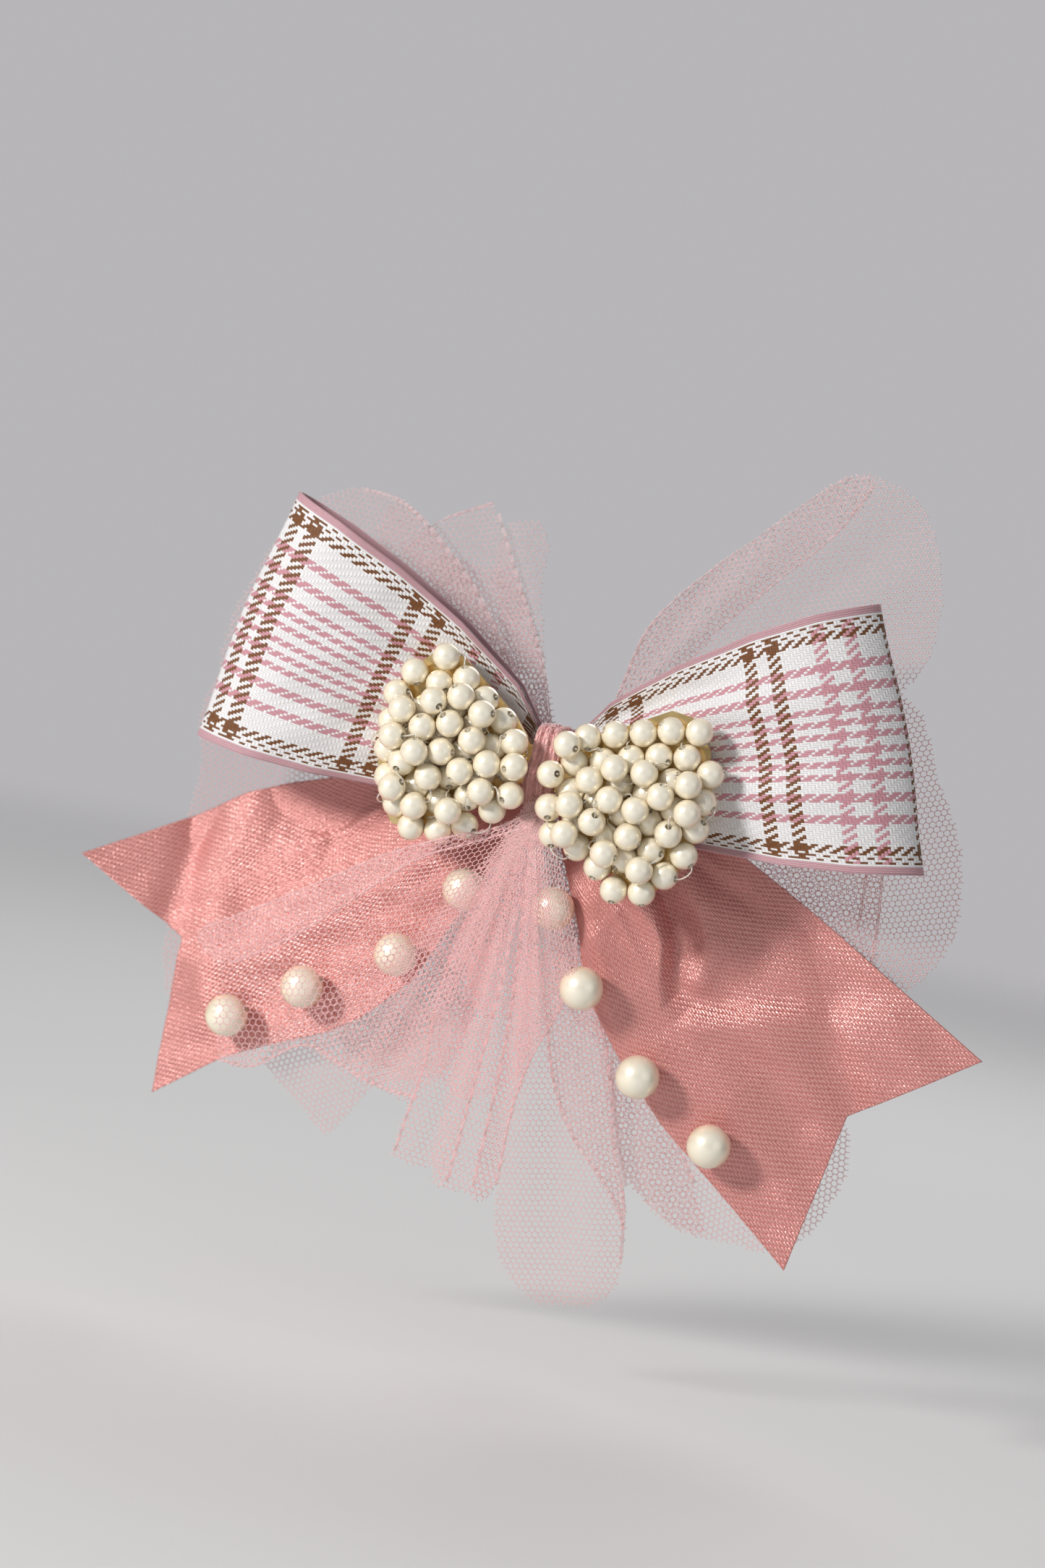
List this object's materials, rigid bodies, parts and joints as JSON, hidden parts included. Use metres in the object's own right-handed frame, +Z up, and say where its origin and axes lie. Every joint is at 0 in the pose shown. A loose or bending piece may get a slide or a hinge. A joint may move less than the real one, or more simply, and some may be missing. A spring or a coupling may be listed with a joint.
{
  "type": "hair bow",
  "caption": "Layered hair bow with tartan ribbon loops, satin swallow tails, gathered tulle and beaded metal centre on a sprung alligator clip.",
  "frame": {"origin": "middle of the clip's closed grip plane, straight behind the knot", "axes": "+X to the viewer's right along the clip, +Y out of the back towards the wearer's head, +Z up; the beaded front faces -Y"},
  "size_m": [0.1752, 0.0496, 0.1595],
  "materials": {
    "tulle_pink": "open hexagonal nylon net",
    "satin_coral": "satin weave ribbon with a soft sheen",
    "plaid_ribbon": "twill woven tartan in white, dusty pink and brown",
    "gold_metal": "polished light gold plating",
    "pearl_cream": "pearlescent coating",
    "clear_nylon": "clear monofilament",
    "winding_thread": "polyester thread",
    "pad_felt": "felt",
    "clip_steel": "nickel plated",
    "spring_steel": "drawn wire"
  },
  "bodies": {
    "bow": {"tulle_lobe_upper_right": "tulle_pink", "tulle_lobe_right": "tulle_pink", "tulle_lobe_lower_right": "tulle_pink", "tulle_lobe_bottom": "tulle_pink", "tulle_strip_bottom": "tulle_pink", "tulle_lobe_lower_left": "tulle_pink", "tulle_lobe_left": "tulle_pink", "tulle_lobe_upper_left": "tulle_pink", "tulle_lobe_upper_inner": "tulle_pink", "tulle_knot_tail": "tulle_pink", "satin_tail_right": "satin_coral", "satin_tail_left": "satin_coral", "plaid_loop_right": "plaid_ribbon", "plaid_loop_left": "plaid_ribbon", "binding_thread": "winding_thread", "centre_wrap": "tulle_pink", "gold_bow_plate": "gold_metal", "seed_pearls_right": "pearl_cream", "seed_pearls_left": "pearl_cream", "beading_thread_right": "clear_nylon", "beading_thread_left": "clear_nylon", "tail_pearls_right": "pearl_cream", "tail_pearls_left": "pearl_cream", "backing_pad": "pad_felt", "clip_upper_jaw": "clip_steel", "clip_pivot_pin": "clip_steel", "clip_spring": "spring_steel"},
    "clip_jaw": {"clip_lower_jaw": "clip_steel"}
  },
  "joints": [
    {"name": "jaw_hinge", "type": "hinge", "parent": "bow", "child": "clip_jaw", "pos_m": [0.02, 0.0034, 0], "axis": [0, 0, -1], "range_deg": [0, 35], "stiffness_Nm_per_rad": 0.05, "deforming": ["clip_spring"]}
  ]
}
